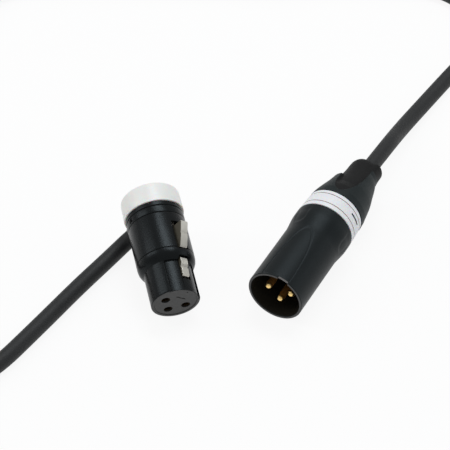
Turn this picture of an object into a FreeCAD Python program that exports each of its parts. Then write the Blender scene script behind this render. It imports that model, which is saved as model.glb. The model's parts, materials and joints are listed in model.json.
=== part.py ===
import FreeCAD, Part
import math
import os
import re
import Sketcher
from FreeCAD import Placement, Rotation, Vector

# A short microphone lead: a low-profile right-angle female connector, a straight male
# connector and the cable between them. Each connector is modelled along its own axis,
# with z = 0 at its mating face, z growing to the rear and +x towards its key.

doc = FreeCAD.newDocument("xlr_lead")
sheet = doc.addObject("Spreadsheet::Sheet", "Sizes")
nodes = []


# ---------------------------------------------------------------- driving dimensions

dimensions = {
    # the female connector, from its mating face to the rear
    "nose_radius": 7.95, "nose_wall": 1.05, "nose_length": 11.6, "shoulder_length": 2.2,
    "shoulder_reach": 3.7, "shoulder_ease": 0.93, "body_radius": 9.5, "body_wall": 1.3,
    "collar_set": 1.6, "collar_length": 4.3, "cap_length": 6.6, "cap_proud": 0.6,
    "cap_wall": 1.15, "cap_round": 1.4, "chamfer": 0.3, "groove_drop": 1.6,
    "groove_depth": 0.35, "key_depth": 0.5, "key_width": 11.6, "spigot_step": 1.2,
    "spigot_wall": 1.0, "spigot_length": 3.0, "insert_length": 15.0, "insert_fit": 0.03,
    "pin_circle": 4.05, "contact_radius": 1.65, "contact_bore": 1.25, "contact_tail": 6.0,
    "contact_depth": 12.5, "face_hole": 1.45, "face_skin": 0.8, "exit_rise": 4.5,
    "exit_room": 0.8, "seat_gap": 0.05,
    # the cable clamp inside the female connector
    "clamp_set": 1.9, "screw_gap": 0.1, "bar_width": 2.4, "bar_thickness": 1.3,
    "clamp_screw": 0.6, "clamp_head": 1.05, "head_height": 0.8, "base_bore": 2.4,
    "grommet_gap": 0.35, "grommet_fit": 0.1, "grommet_proud": 0.5,
    # the latch
    "lever_width": 3.2, "lever_gap": 0.4, "lever_strip": 0.7, "hook_start": 5.3,
    "hook_length": 7.1, "hook_proud": 0.65, "tab_set": 3.9, "tab_length": 10.7,
    "tab_proud": 0.8, "step_drop": 0.35, "pivot_set": 1.2, "eye_gap": 0.3,
    "pivot_radius": 0.5, "eye_radius": 1.0, "running_fit": 0.06, "pin_reach": 4.9,
    "window_gap": 0.5, "channel_depth": 1.9,
    # the male connector, from its mating face to the rear
    "rim_radius": 9.5, "cup_wall": 1.15, "cup_depth": 15.5, "rim_round": 0.4,
    "flare_start": 24.0, "flare": 0.7, "flare_length": 7.3, "grip_length": 10.3,
    "ring_length": 8.1, "sleeve_step": 0.6, "sleeve_wall": 1.8, "thread_step": 0.7,
    "thread_length": 4.4, "male_insert_length": 5.5, "pin_radius": 1.2, "pin_tip": 3.0,
    "pin_tail": 3.5, "ring_front_step": 1.25, "ring_rear_step": 0.95, "ring_groove": 0.2,
    "ring_edge": 0.3, "ring_line": 1.15, "window_width": 2.4, "window_height": 0.6,
    "window_turn": 58, "panel_start": 2.0, "panel_half": 4.8, "panel_length": 21.6,
    "line_width": 0.35, "line_depth": 0.25, "notch_width": 3.6, "notch_depth": 0.5,
    "notch_turn": 20, "scallop_radius": 3.0, "scallop_length": 7.0, "scallop_set": 2.0,
    "scallop_depth": 0.45, "scallop_turn": 86,
    # the boot and the chuck
    "boot_step": 0.5, "skirt_length": 13.9, "neck_length": 10.6, "lobe_step": 2.0,
    "neck_wall": 2.15, "bore_room": 0.3, "boot_gap": 0.08, "chuck_set": 1.6,
    "chuck_length": 13.5, "chuck_wall": 1.0, "chuck_room": 0.1, "chuck_slots": 4,
    "chuck_slot": 0.8, "scoop_half": 5.0, "scoop_set": 3.3, "scoop_length": 16.6,
    "lobe_tilt": 22, "lobe_drop": 4.1, "lobe_turn": -70,
    # the cable, and how everything lies on the table
    "cable_radius": 2.75, "cable_inside": 4.8, "cable_free": 9.0, "wire_radius": 0.55,
    "female_x": -24.415, "female_y": -29.029, "female_heading": 103.3, "female_lift": 11.4,
    "female_key": 54, "male_x": 6.865, "male_y": -27.829, "male_heading": 60.9,
    "male_key": 93,
}

# Heights and radii that follow from the sizes above.
derived = {
    "tab_start": "nose_length + tab_set", "tab_end": "tab_start + tab_length",
    "tab_step": "tab_start + tab_length / 2", "tab_top": "body_radius + tab_proud",
    "pivot_height": "tab_end + pivot_set", "collar_start": "pivot_height + collar_set",
    "cap_start": "collar_start + collar_length", "cap_end": "cap_start + cap_length",
    "cap_radius": "body_radius + cap_proud", "groove_height": "cap_start - groove_drop",
    "shoulder_line": "nose_length + shoulder_reach",
    "shoulder_round": "(body_radius - nose_radius) * shoulder_ease",
    "spigot_radius": "body_radius - spigot_step",
    "spigot_end": "collar_start + spigot_length", "exit_height": "collar_start + exit_rise",
    "exit_hole": "cable_radius + exit_room", "contact_end": "insert_length + contact_tail",
    "clamp_across": "spigot_radius - spigot_wall - clamp_set",
    "clamp_aside": "cable_radius + clamp_screw + screw_gap",
    "bar_reach": "clamp_aside + clamp_head + screw_gap",
    "hook_end": "hook_start + hook_length", "hook_top": "nose_radius + hook_proud",
    "lever_floor": "nose_radius - nose_wall - lever_gap - lever_strip",
    "channel_floor": "lever_floor - channel_depth",
    "pivot_x": "body_radius - body_wall - eye_radius - eye_gap",
    "cup_radius": "rim_radius - cup_wall", "flare_radius": "rim_radius + flare",
    "male_insert_end": "cup_depth + male_insert_length",
    "pin_end": "male_insert_end + pin_tail", "ring_start": "flare_start + grip_length",
    "ring_end": "ring_start + ring_length", "sleeve_radius": "rim_radius - sleeve_step",
    "sleeve_bore": "sleeve_radius - sleeve_wall",
    "thread_radius": "sleeve_radius - thread_step",
    "thread_end": "ring_end + thread_length", "panel_end": "panel_start + panel_length",
    "ring_front": "sleeve_radius + ring_front_step",
    "ring_rear": "sleeve_radius + ring_rear_step", "boot_radius": "rim_radius + boot_step",
    "skirt_end": "ring_end + skirt_length", "boot_end": "skirt_end + neck_length",
    "step_radius": "boot_radius - lobe_step", "neck_radius": "cable_radius + neck_wall",
    "boot_bore": "cable_radius + bore_room", "chuck_start": "ring_end + chuck_set",
    "chuck_end": "chuck_start + chuck_length", "chuck_nose": "cable_radius + chuck_wall",
    "chuck_bore": "cable_radius + chuck_room",
}
sizes = {**dimensions, **derived}
for row, (name, number) in enumerate(sizes.items(), 1):
    sheet.set(f"A{row}", str(number) if name in dimensions else f"={number}")
    sheet.setAlias(f"A{row}", name)
    if name in derived:
        doc.recompute()
doc.recompute()

# ---------------------------------------------------------------- ways of making things


def bound(formula):
    """A formula on size names, as an expression on the sheet."""
    return re.sub(r"[a-z][a-z_]+", lambda word: f"Sizes.{word.group()}"
                  if word.group() in sizes else word.group(), str(formula))


def mm(formula):
    """The present value of a formula on size names."""
    return float(sheet.evalExpression(str(formula)))


def outline(body, role, corners):
    """A closed sketch of straight edges on one of the body's own planes."""
    plane = next(item for item in body.Origin.OriginFeatures if item.Role == role)
    sketch = body.newObject("Sketcher::SketchObject", body.Name + "_outline")
    sketch.AttachmentSupport = (plane, "")
    sketch.MapMode = "FlatFace"
    points = [Vector(mm(across), mm(along), 0) for across, along in corners]
    for start, end in zip(points, points[1:] + points[:1]):
        sketch.addGeometry(Part.LineSegment(start, end))
    for edge in range(len(points)):
        following = (edge + 1) % len(points)
        sketch.addConstraint(Sketcher.Constraint("Coincident", edge, 2, following, 1))
    for edge, (point, formulas) in enumerate(zip(points, corners)):
        for kind, number, formula in (("DistanceX", point.x, formulas[0]),
                                      ("DistanceY", point.y, formulas[1])):
            index = sketch.addConstraint(Sketcher.Constraint(kind, -1, 1, edge, 1, number))
            sketch.setExpression(f"Constraints[{index}]", bound(formula))
    return sketch


def lathe(name, corners):
    """A turned piece: (radius, z) corners revolved about the connector's axis."""
    body = doc.addObject("PartDesign::Body", name)
    sketch = outline(body, "XZ_Plane", corners)
    turned = body.newObject("PartDesign::Revolution", name + "_turned")
    turned.Profile = sketch
    turned.ReferenceAxis = (sketch, ["V_Axis"])
    turned.Angle = 360
    doc.recompute()
    return body


def plate(name, corners, width):
    """A piece of constant width across y: (x, z) corners padded both ways."""
    body = doc.addObject("PartDesign::Body", name)
    sketch = outline(body, "XZ_Plane", corners)
    pad = body.newObject("PartDesign::Pad", name + "_pad")
    pad.Profile = sketch
    pad.SideType = "Symmetric"
    pad.setExpression("Length", bound(width))
    doc.recompute()
    return body


def round_rings(body, radius, *rings):
    """Round the circular edges of a turned body that lie at the given (radius, z)."""
    base = body.Tip
    picked = []
    for number, edge in enumerate(base.Shape.Edges, 1):
        if not isinstance(edge.Curve, Part.Circle):
            continue
        for ring_radius, height in rings:
            near_radius = abs(edge.Curve.Radius - mm(ring_radius)) < 1e-4
            if near_radius and abs(edge.Curve.Center.z - mm(height)) < 1e-4:
                picked.append(f"Edge{number}")
    fillet = body.newObject("PartDesign::Fillet", body.Name + "_rounded")
    fillet.Base = (base, picked)
    fillet.setExpression("Radius", bound(radius))
    body.Tip = fillet
    doc.recompute()
    return body


def place(item, across="0", sideways="0", height="0"):
    """Bind an object's position to formulas."""
    for axis, formula in zip("xyz", (across, sideways, height)):
        item.setExpression(f"Placement.Base.{axis}", bound(formula))
    return item


def block(name, size, low, turn=0.0):
    """A box from its low corner, the whole turned about the connector's axis."""
    item = doc.addObject("Part::Box", name)
    for prop, formula in zip(("Length", "Width", "Height"), size):
        item.setExpression(prop, bound(formula))
    if not turn:
        return place(item, *low)
    spin = Rotation(Vector(0, 0, 1), turn)
    item.Placement = Placement(spin.multVec(Vector(*map(mm, low))), spin)
    return item


def rod(name, radius, length, start, along="z"):
    """A cylinder from its start point along one axis of the connector."""
    item = doc.addObject("Part::Cylinder", name)
    item.setExpression("Radius", bound(radius))
    item.setExpression("Height", bound(length))
    if along == "x":
        item.Placement.Rotation = Rotation(Vector(0, 1, 0), 90)
    if along == "y":
        item.Placement.Rotation = Rotation(Vector(1, 0, 0), -90)
    return place(item, *start)


def oval(name, half_length, half_width, middle):
    """A bar along +x of oval section, longer along the connector than across it."""
    edge = doc.addObject("Part::Ellipse", name + "_edge")
    edge.setExpression("MajorRadius", bound(half_length))
    edge.setExpression("MinorRadius", bound(half_width))
    edge.Placement.Rotation = Rotation(Vector(0, 1, 0), -90)
    place(edge, height=middle)
    bar = doc.addObject("Part::Extrusion", name)
    bar.Base = edge
    bar.DirMode = "Custom"
    bar.Dir = Vector(1, 0, 0)
    bar.setExpression("LengthFwd", bound("2 * boot_radius"))
    bar.Solid = True
    doc.recompute()
    return bar


def fuse(name, items):
    joined = doc.addObject("Part::MultiFuse", name)
    joined.Shapes = items
    return joined


def common(name, items):
    shared = doc.addObject("Part::MultiCommon", name)
    shared.Shapes = items
    return shared


def cut(name, base, tools):
    """The base less its tools."""
    result = doc.addObject("Part::Cut", name)
    result.Base = base
    result.Tool = tools[0] if len(tools) == 1 else fuse(name + "_tools", tools)
    doc.recompute()
    if result.Shape.Volume >= base.Shape.Volume - 1e-6:
        raise ValueError(f"{name}: a cut removed nothing")
    return result


def keep(item, label, placement):
    """Name a finished piece and set it in the part's frame."""
    item.Label = label
    item.Placement = placement
    nodes.append(item)


def feature(label, shape, placement=None):
    """A piece given directly as a shape."""
    item = doc.addObject("Part::Feature", label)
    item.Shape = shape
    keep(item, label, placement or Placement())


def on_table(face_x, face_y, height, heading, lift, key_angle):
    """Where a connector lies: its rear points along heading, raised by lift degrees."""
    turn = Rotation(Vector(0, 0, 1), mm(heading))
    turn = turn * Rotation(Vector(0, 1, 0), 90 - mm(lift))
    turn = turn * Rotation(Vector(0, 0, 1), 270 - mm(key_angle))
    return Placement(Vector(mm(face_x), mm(face_y), mm(height)), turn)


# ---------------------------------------------------------------- how the connectors lie

female_place = on_table("female_x", "female_y",
                        "nose_radius * cos(female_lift) - chamfer * sin(female_lift)",
                        "female_heading", "female_lift", "female_key")
male_lift = math.degrees(math.atan(mm(
    "flare / (flare_start + flare_length - rim_round)")))
male_place = on_table("male_x", "male_y",
                      f"rim_radius * cos({male_lift}) - rim_round * sin({male_lift})",
                      "male_heading", f"{male_lift}", "male_key")

# ---------------------------------------------------------------- female connector

nose_bore = "(nose_radius - nose_wall)"
body_bore = "(body_radius - body_wall)"
spigot_bore = "(spigot_radius - spigot_wall)"
body_start = "(nose_length + shoulder_length)"

shell = lathe("female_shell_turned", [
    (nose_bore, "0"), ("nose_radius - chamfer", "0"), ("nose_radius", "chamfer"),
    ("nose_radius", "nose_length"), ("body_radius", "nose_length"),
    ("body_radius", "shoulder_line - line_width / 2"),
    ("body_radius - line_depth", "shoulder_line"),
    ("body_radius", "shoulder_line + line_width / 2"),
    ("body_radius", "collar_start - chamfer"), ("body_radius - chamfer", "collar_start"),
    ("spigot_radius", "collar_start"), ("spigot_radius", "spigot_end"),
    (spigot_bore, "spigot_end"), (spigot_bore, "collar_start - chamfer"),
    (body_bore, "collar_start - chamfer"), (body_bore, body_start), (nose_bore, body_start)])
round_rings(shell, "shoulder_round", ("body_radius", "nose_length"))
key_ring = lathe("key_ring", [
    ("nose_radius - key_depth", "0"), ("nose_radius + 1", "0"),
    ("nose_radius + 1", "nose_length"), ("nose_radius - key_depth", "nose_length")])
key_side = block("key_side", ("nose_radius + 2", "key_width", "nose_length"),
                 ("0", "-key_width / 2", "0"))
hook_window = block("hook_window", ("5", "lever_width + window_gap",
                                    "hook_end - hook_start + 3 * window_gap"),
                    (nose_bore + " - 2", "-(lever_width + window_gap) / 2",
                     "hook_start - 1.5 * window_gap"))
tab_window = block("tab_window", ("5", "lever_width + 3 * window_gap",
                                  "tab_end - tab_start + 2 * window_gap"),
                   (body_bore + " - 2", "-(lever_width + 3 * window_gap) / 2",
                    "tab_start - window_gap"))
exit_bore = rod("exit_bore", "exit_hole", "cap_radius + 2", ("-cap_radius - 2", "0", "exit_height"),
                "x")
pivot_holes = rod("pivot_holes", "pivot_radius", "2 * pin_reach",
                  ("pivot_x", "-pin_reach", "pivot_height"), "y")
keep(cut("female_shell", shell, [common("key_recess", [key_ring, key_side]), hook_window,
                                 tab_window, exit_bore, pivot_holes]),
     "female_shell", female_place)

# The insert carries the sockets; the latch lies in a channel in it.
insert = lathe("female_insert_turned", [
    ("0", "chamfer / 2"), (nose_bore + " - insert_fit", "chamfer / 2"),
    (nose_bore + " - insert_fit", "insert_length"), ("0", "insert_length")])
channel = block("latch_channel", ("5", "lever_width + window_gap", "insert_length"),
                ("channel_floor", "-(lever_width + window_gap) / 2", "hook_start - 2"))
face_slot = block("face_slot", ("0.35", "3.6", "1"), ("2.6", "-1.8", "-0.5"))
face_dot = rod("face_dot", "0.25", "1", ("6.2", "0", "-0.5"))
holes = []
for angle in (90, 180, 270):
    spot = [f"pin_circle * cos({angle})", f"pin_circle * sin({angle})"]
    holes.append(rod(f"socket_hole_{angle}", "contact_radius", "insert_length",
                     (*spot, "face_skin")))
    holes.append(rod(f"face_hole_{angle}", "face_hole", "2 * face_skin", (*spot, "0")))
keep(cut("female_insert", insert, [channel, face_slot, face_dot, *holes]),
     "female_insert", female_place)

# Turned sockets with a solder cup behind.
for number, angle in enumerate((90, 270, 180), 1):
    socket = lathe(f"female_contact_{number}", [
        ("contact_bore", "face_skin"), ("contact_radius", "face_skin"),
        ("contact_radius", "insert_length"), ("contact_radius - 0.35", "insert_length"),
        ("contact_radius - 0.35", "contact_end"), ("0.85", "contact_end"),
        ("0.85", "contact_end - 2.5"), ("0", "contact_end - 2.5"), ("0", "contact_depth"),
        ("contact_bore", "contact_depth")])
    spot = Vector(mm("pin_circle"), 0, 0)
    spot = Rotation(Vector(0, 0, 1), angle).multVec(spot)
    keep(socket, socket.Name, female_place * Placement(spot, Rotation()))

# The latch: a lever with a hook in the nose and a ridged tab in the body.
strip_top = "(lever_floor + lever_strip)"
lever = plate("latch_lever_pad", [
    ("lever_floor", "hook_start"), ("nose_radius - key_depth + 0.2", "hook_start"),
    ("hook_top - 0.25", "hook_start + 3.2"), ("hook_top - 0.6", "hook_start + 3.3"),
    ("hook_top", "hook_start + 4.2"), ("hook_top", "hook_end"), (strip_top, "hook_end"),
    (strip_top, "tab_start"), ("tab_top - 3 * step_drop", "tab_start"),
    ("tab_top - step_drop", "tab_step"), ("tab_top - 2 * step_drop", "tab_step"),
    ("tab_top", "tab_end - step_drop"), ("tab_top - step_drop", "tab_end"),
    (strip_top, "tab_end"), ("pivot_x + eye_radius / 2", "pivot_height"),
    ("pivot_x - eye_radius / 2", "pivot_height"), ("lever_floor", "tab_end")], "lever_width")
eye = rod("latch_eye", "eye_radius", "lever_width",
          ("pivot_x", "-lever_width / 2", "pivot_height"), "y")
eye_hole = rod("latch_eye_hole", "pivot_radius + running_fit", "2 * lever_width",
               ("pivot_x", "-lever_width", "pivot_height"), "y")
keep(cut("latch_lever", fuse("latch_lever_blank", [lever, eye]), [eye_hole]),
     "latch_lever", female_place)
pin = doc.addObject("Part::Cylinder", "latch_pin")
pin.setExpression("Radius", bound("pivot_radius"))
pin.setExpression("Height", bound("2 * pin_reach"))
keep(pin, "latch_pin", female_place * Placement(
    Vector(mm("pivot_x"), mm("-pin_reach"), mm("pivot_height")), Rotation(Vector(1, 0, 0), -90)))

# The collar turns the cable out to the side; the cap closes the rear.
collar = lathe("cable_collar_turned", [
    ("spigot_radius + seat_gap", "collar_start + seat_gap"),
    ("body_radius - chamfer", "collar_start + seat_gap"),
    ("body_radius", "collar_start + chamfer + seat_gap"),
    ("body_radius", "groove_height - groove_depth"),
    ("body_radius - groove_depth", "groove_height"),
    ("body_radius", "groove_height + groove_depth"), ("body_radius", "cap_start"),
    ("cap_radius - cap_wall - seat_gap", "cap_start"),
    ("cap_radius - cap_wall - seat_gap", "cap_end - cap_wall - 0.3"),
    ("spigot_radius + seat_gap", "cap_end - cap_wall - 0.3")])
screw_angle = 97
screw_turns = [Rotation(Vector(0, 0, 1), side * screw_angle) for side in (-1, 1)]
screw_height = mm("(collar_start + groove_height) / 2")
screw_holes = []
for side, spin in enumerate(screw_turns, 1):
    hole = rod(f"screw_hole_{side}", "0.9", "2", ("0", "0", "0"), "x")
    for axis in "xyz":
        hole.setExpression(f"Placement.Base.{axis}", None)
    reach = spin.multVec(Vector(mm("spigot_radius"), 0, 0)) + Vector(0, 0, screw_height)
    hole.Placement = Placement(reach, spin * Rotation(Vector(0, 1, 0), 90))
    screw_holes.append(hole)
keep(cut("cable_collar", collar, [exit_bore, *screw_holes]), "cable_collar", female_place)

set_screws = []
for side, spin in enumerate(screw_turns, 1):
    start = spin.multVec(Vector(mm("spigot_radius + seat_gap"), 0, 0))
    start = start + Vector(0, 0, screw_height)
    direction = spin.multVec(Vector(1, 0, 0))
    body_of_screw = Part.makeCylinder(0.85, 0.9, start, direction)
    socket = Part.makeCylinder(0.45, 0.5, start + direction * 0.5, direction)
    set_screws.append(body_of_screw.cut(socket))
feature("collar_screws", Part.makeCompound(set_screws), female_place)

cap = lathe("end_cap_turned", [
    ("cap_radius - cap_wall", "cap_start + seat_gap"), ("cap_radius", "cap_start + seat_gap"),
    ("cap_radius - 0.1", "cap_end"), ("0", "cap_end"), ("0", "cap_end - cap_wall"),
    ("cap_radius - cap_wall", "cap_end - cap_wall")])
round_rings(cap, "cap_round", ("cap_radius - 0.1", "cap_end"))
keep(cut("end_cap", cap, [exit_bore]), "end_cap", female_place)

# Cable outlet: a soft sleeve in the side hole, and inside it a bar that two screws pull
# down on the cable, against a round base.
grommet = lathe("cable_grommet_turned", [
    ("cable_radius + grommet_gap", "spigot_radius - spigot_wall"),
    ("exit_hole - grommet_fit", "spigot_radius - spigot_wall"),
    ("exit_hole - grommet_fit", "cap_radius + grommet_proud"),
    ("cable_radius + 1.5 * grommet_gap", "cap_radius + grommet_proud")])
sideways = Placement(Vector(0, 0, mm("exit_height")), Rotation(Vector(0, 1, 0), -90))
keep(grommet, "cable_grommet", female_place * sideways)

base_floor = "(collar_start + seat_gap)"
cable_floor = "(exit_height - cable_radius)"
cable_top = "(exit_height + cable_radius)"
base = lathe("clamp_base_turned", [
    ("base_bore", base_floor), (spigot_bore + " - seat_gap", base_floor),
    (spigot_bore + " - seat_gap", cable_floor), ("base_bore", cable_floor)])
bar = block("clamp_bar_blank", ("bar_width", "2 * bar_reach", "bar_thickness"),
            ("-clamp_across - bar_width / 2", "-bar_reach", cable_top))
base_holes = []
bar_holes = []
screws = []
for number, side in enumerate(("-", ""), 1):
    spot = ("-clamp_across", f"{side}clamp_aside")
    base_holes.append(rod(f"base_hole_{number}", "clamp_screw", "insert_length",
                          (*spot, base_floor)))
    bar_holes.append(rod(f"bar_hole_{number}", "clamp_screw", "2 * bar_thickness",
                         (*spot, cable_top + " - bar_thickness / 2")))
    foot = Vector(mm(spot[0]), mm(spot[1]), mm(base_floor))
    under_head = foot + Vector(0, 0, mm(cable_top + " + bar_thickness") - foot.z)
    shank = Part.makeCylinder(mm("clamp_screw"), under_head.z - foot.z, foot)
    screws.append(shank.fuse(Part.makeCylinder(mm("clamp_head"), mm("head_height"), under_head)))
keep(cut("clamp_base", base, base_holes), "clamp_base", female_place)
keep(cut("clamp_bar", bar, bar_holes), "clamp_bar", female_place)
feature("clamp_screws", Part.makeCompound(screws), female_place)

# ---------------------------------------------------------------- male connector

shell = lathe("male_shell_turned", [
    ("cup_radius", "rim_round"), ("cup_radius + 0.3", "0"), ("rim_radius - rim_round", "0"),
    ("rim_radius", "rim_round"), ("rim_radius", "flare_start"),
    ("flare_radius", "flare_start + flare_length"), ("flare_radius", "ring_start - chamfer"),
    ("flare_radius - chamfer", "ring_start"), ("sleeve_radius", "ring_start"),
    ("sleeve_radius", "ring_end"), ("thread_radius", "ring_end"),
    ("thread_radius", "thread_end"), ("sleeve_bore", "thread_end"),
    ("sleeve_bore", "male_insert_end"), ("cup_radius", "male_insert_end")])
groove_band = lathe("panel_band", [
    ("rim_radius - line_depth", "1"), ("rim_radius + 1", "1"),
    ("rim_radius + 1", "panel_end + 2"), ("rim_radius - line_depth", "panel_end + 2")])


panel_line = cut("panel_line", common("panel_outer", [
    groove_band, oval("tongue_out", "panel_end - panel_start", "panel_half", "panel_start")]),
    [oval("tongue_in", "panel_end - panel_start - line_width", "panel_half - line_width",
          "panel_start")])
notch = block("rim_notch", ("4", "notch_width", "notch_depth + 1"),
              ("cup_radius - 1", "-notch_width / 2", "-1"), mm("notch_turn"))
scallops = []
for side in (0, 1, 2):
    spin = Rotation(Vector(0, 0, 1), mm("scallop_turn") + 120 * side)
    scallop = doc.addObject("Part::Cylinder", f"scallop_{side + 1}")
    scallop.setExpression("Radius", bound("scallop_radius"))
    scallop.setExpression("Height", bound("scallop_length"))
    middle = Vector(mm("flare_radius + scallop_radius - scallop_depth"), 0, mm("flare_start + scallop_set"))
    scallop.Placement = Placement(spin.multVec(middle), spin)
    scallops.append(scallop)
keep(cut("male_shell", shell, [panel_line, notch, *scallops]), "male_shell", male_place)

insert = lathe("male_insert_turned", [
    ("0", "cup_depth"), ("cup_radius - insert_fit", "cup_depth"),
    ("cup_radius - insert_fit", "male_insert_end - insert_fit"),
    ("0", "male_insert_end - insert_fit")])
holes = []
for angle in (90, 180, 270):
    spot = [f"pin_circle * cos({angle})", f"pin_circle * sin({angle})"]
    holes.append(rod(f"pin_hole_{angle}", "pin_radius", "cup_depth", (*spot, "cup_depth - 1")))
keep(cut("male_insert", insert, holes), "male_insert", male_place)

for number, angle in enumerate((270, 90, 180), 1):
    pin = lathe(f"male_pin_{number}", [
        ("0", "pin_tip"), ("pin_radius", "pin_tip"), ("pin_radius", "pin_end"),
        ("0.8", "pin_end"), ("0.8", "pin_end - 2.5"), ("0", "pin_end - 2.5")])
    round_rings(pin, "pin_radius * 0.85", ("pin_radius", "pin_tip"))
    spot = Rotation(Vector(0, 0, 1), angle).multVec(Vector(mm("pin_circle"), 0, 0))
    keep(pin, pin.Name, male_place * Placement(spot, Rotation()))

ring = lathe("coding_ring_turned", [
    ("sleeve_radius + seat_gap", "ring_start + seat_gap"),
    ("ring_front - ring_groove", "ring_start + seat_gap"),
    ("ring_front", "ring_start + ring_edge"),
    ("ring_front", "ring_start + ring_line"),
    ("ring_front - ring_groove", "ring_start + ring_line + ring_groove"),
    ("ring_front", "ring_start + ring_line + 2 * ring_groove"),
    ("ring_rear", "ring_end - ring_line - 2 * ring_groove"),
    ("ring_rear - ring_groove", "ring_end - ring_line - ring_groove"),
    ("ring_rear", "ring_end - ring_line"), ("ring_rear", "ring_end - ring_edge"),
    ("ring_rear - ring_groove", "ring_end"), ("sleeve_radius + seat_gap", "ring_end")])
window = block("ring_window", ("3", "window_width", "window_height"),
               ("sleeve_radius + 0.5", "-window_width / 2",
                "(ring_start + ring_end - window_height) / 2"), mm("window_turn"))
keep(cut("coding_ring", ring, [window]), "coding_ring", male_place)

# The boot: a cone with an oval scoop for the thumb on two sides, a lobe that stops at a
# step, and inside both the slimmer neck that carries on to the rear.
boot_start = "(ring_end + seat_gap)"
cone = lathe("boot_cone", [
    ("0", boot_start), ("boot_radius - chamfer", boot_start),
    ("boot_radius", boot_start + " + chamfer"), ("boot_radius - 0.2", "ring_end + 3.6"),
    ("boot_radius - 1.5", "ring_end + 0.6 * skirt_length"),
    ("step_radius - 1.15", "skirt_end"), ("neck_radius + 1.1", "skirt_end + 4.4"),
    ("0", "skirt_end + 4.4")])
lobe = lathe("boot_lobe", [
    ("0", "ring_end + 3.6"), ("boot_radius - 0.2", "ring_end + 3.6"),
    ("boot_radius - 0.55", "ring_end + 0.6 * skirt_length"), ("step_radius", "skirt_end"),
    ("0", "skirt_end")])
slant = doc.addObject("Part::Box", "boot_slant")
for prop in ("Length", "Width", "Height"):
    slant.setExpression(prop, bound("6 * boot_radius"))
slant_turn = Rotation(Vector(0, 0, 1), mm("lobe_turn"))
slant_turn = slant_turn * Rotation(Vector(0, 1, 0), mm("lobe_tilt"))
slant.Placement = Placement(Vector(0, 0, mm("skirt_end - lobe_drop")) + slant_turn.multVec(
    Vector(mm("-3 * boot_radius"), mm("-3 * boot_radius"), 0)), slant_turn)
scoop = oval("boot_scoop", "scoop_length / 2", "scoop_half",
             "ring_end + scoop_set + scoop_length / 2")
scoop_below = doc.addObject("Part::Mirroring", "boot_scoop_below")
scoop_below.Source = scoop
scoop_below.Normal = Vector(1, 0, 0)
neck = lathe("boot_neck", [
    ("0", "ring_end + 3"), ("boot_radius - 0.75", "ring_end + 3"),
    ("thread_radius + boot_gap + 0.5", "thread_end + 0.6"),
    ("boot_radius - 2.4", "ring_end + 0.6 * skirt_length"),
    ("step_radius - 1.7", "skirt_end"), ("neck_radius + 0.7", "skirt_end + 4.7"),
    ("neck_radius", "boot_end - 1.6"), ("neck_radius - 0.8", "boot_end - 0.4"),
    ("neck_radius - 1.7", "boot_end"), ("0", "boot_end")])
cavity = lathe("boot_cavity", [
    ("0", "ring_end - 1"), ("thread_radius + boot_gap", "ring_end - 1"),
    ("thread_radius + boot_gap", "thread_end + 0.6"),
    ("sleeve_bore - boot_gap + 0.2", "thread_end + 0.8"),
    ("chuck_nose + 0.3", "chuck_end + 0.6"), ("boot_bore", "chuck_end + 0.6"),
    ("boot_bore", "boot_end + 1"), ("0", "boot_end + 1")])
skirt = fuse("boot_skirt", [cone, cut("boot_lobe_slanted", lobe, [slant])])
scooped = cut("boot_scooped", skirt, [scoop, scoop_below])
keep(cut("strain_boot", fuse("boot_solid", [scooped, neck]), [cavity]),
     "strain_boot", male_place)

# The chuck: a split cone that the boot squeezes onto the cable.
chuck = lathe("chuck_turned", [
    ("chuck_bore", "chuck_start"), ("sleeve_bore - boot_gap", "chuck_start"),
    ("sleeve_bore - boot_gap", "thread_end + 0.5"),
    ("sleeve_bore - 0.65", "thread_end + 0.9"),
    ("chuck_nose", "chuck_end"), ("chuck_bore", "chuck_end")])
count = int(mm("chuck_slots"))
slots = [block(f"chuck_slot_{turn}", ("10", "chuck_slot", "chuck_end"),
               ("chuck_bore - 1", "-chuck_slot / 2", "thread_end + 2"),
               360 / count * (turn + 0.5)) for turn in range(count)]
keep(cut("cable_chuck", chuck, slots), "cable_chuck", male_place)

# ---------------------------------------------------------------- wires and cable


def route(points):
    """Straight runs joined by tangent arcs, each as large as its two runs allow."""
    edges = []
    radii = []
    start = points[0]
    for before, corner, after in zip(points, points[1:], points[2:]):
        back = (before - corner).normalize()
        ahead = (after - corner).normalize()
        half_turn = (math.pi - back.getAngle(ahead)) / 2
        reach = 0.45 * min((before - corner).Length, (after - corner).Length)
        radius = reach / math.tan(half_turn)
        radii.append(radius)
        first = corner + back * reach
        last = corner + ahead * reach
        inward = (back + ahead).normalize()
        middle = corner + inward * (radius / math.cos(half_turn) - radius)
        edges.append(Part.LineSegment(start, first).toShape())
        edges.append(Part.Arc(first, middle, last).toShape())
        start = last
    edges.append(Part.LineSegment(start, points[-1]).toShape())
    print("radii", [round(radius, 1) for radius in radii])
    return Part.Wire(edges)


def tube(points, radius):
    """A round cable along a route."""
    path = route(points)
    section = Part.Wire(Part.Circle(points[0], points[1] - points[0], radius).toShape())
    solid = path.makePipeShell([section], True, False)
    wanted = math.pi * radius ** 2 * path.Length
    print("length", round(path.Length, 1), "volume", round(solid.Volume / wanted, 5))
    return solid


def wire(points):
    """A thin stiff wire, folded sharply from point to point."""
    path = Part.makePolygon(points)
    section = Part.Wire(Part.Circle(points[0], points[1] - points[0],
                                    mm("wire_radius")).toShape())
    return path.makePipeShell([section], True, False, 1)


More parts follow.
